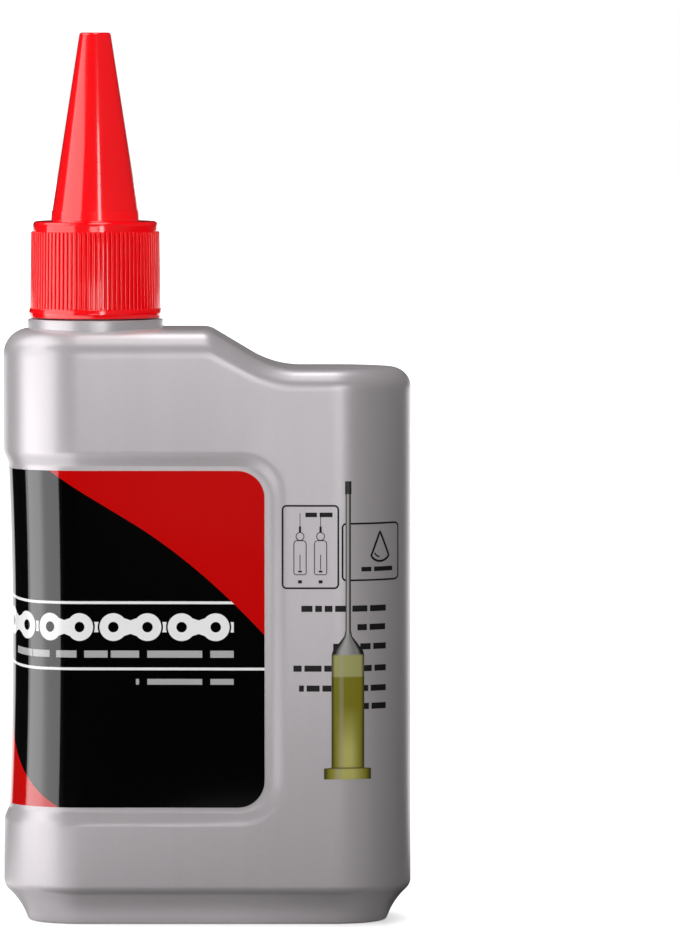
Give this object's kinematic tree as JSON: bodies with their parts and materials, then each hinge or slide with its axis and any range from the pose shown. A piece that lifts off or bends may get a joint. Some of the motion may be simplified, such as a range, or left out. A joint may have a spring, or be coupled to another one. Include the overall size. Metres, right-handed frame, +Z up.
{
  "type": "chain lube bottle",
  "caption": "Flat blow-moulded squeeze bottle with a recessed wrap label, an off-centre neck, a pressed-in dripper spout and a ribbed screw cap with a long cone.",
  "frame": {"origin": "bottom centre of the bottle's body, on the surface it stands on", "axes": "+Z up, the front with the small print faces -Y, X runs along the width with the neck towards -X"},
  "size_m": [0.0636, 0.026, 0.1388],
  "materials": {
    "silver_body": "silver-pigmented polyethylene, satin gloss",
    "label_film": "glossy film, printed in black, red and white",
    "natural_spout": "natural low-density polyethylene",
    "foam_washer": "white expanded polyethylene",
    "red_cap": "glossy red polypropylene"
  },
  "bodies": {
    "bottle_body": {"bottle": "silver_body", "wrap_label": "label_film", "dripper_spout": "natural_spout"},
    "washer": {"sealing_washer": "foam_washer"},
    "cap": {"nozzle_cap": "red_cap"}
  },
  "joints": [
    {"name": "cap_lift", "type": "slide", "parent": "bottle_body", "child": "washer", "axis": [0, 0, 1], "range_m": [0, 0.0046]},
    {"name": "cap_turn", "type": "hinge", "parent": "washer", "child": "cap", "pos_m": [-0.01745, 0, 0.1], "axis": [0, 0, 1], "range_deg": [0, 540]}
  ],
  "couplings": [
    {"joint": "cap_lift", "follows": "cap_turn", "m_per_rad": 0.00047746}
  ]
}
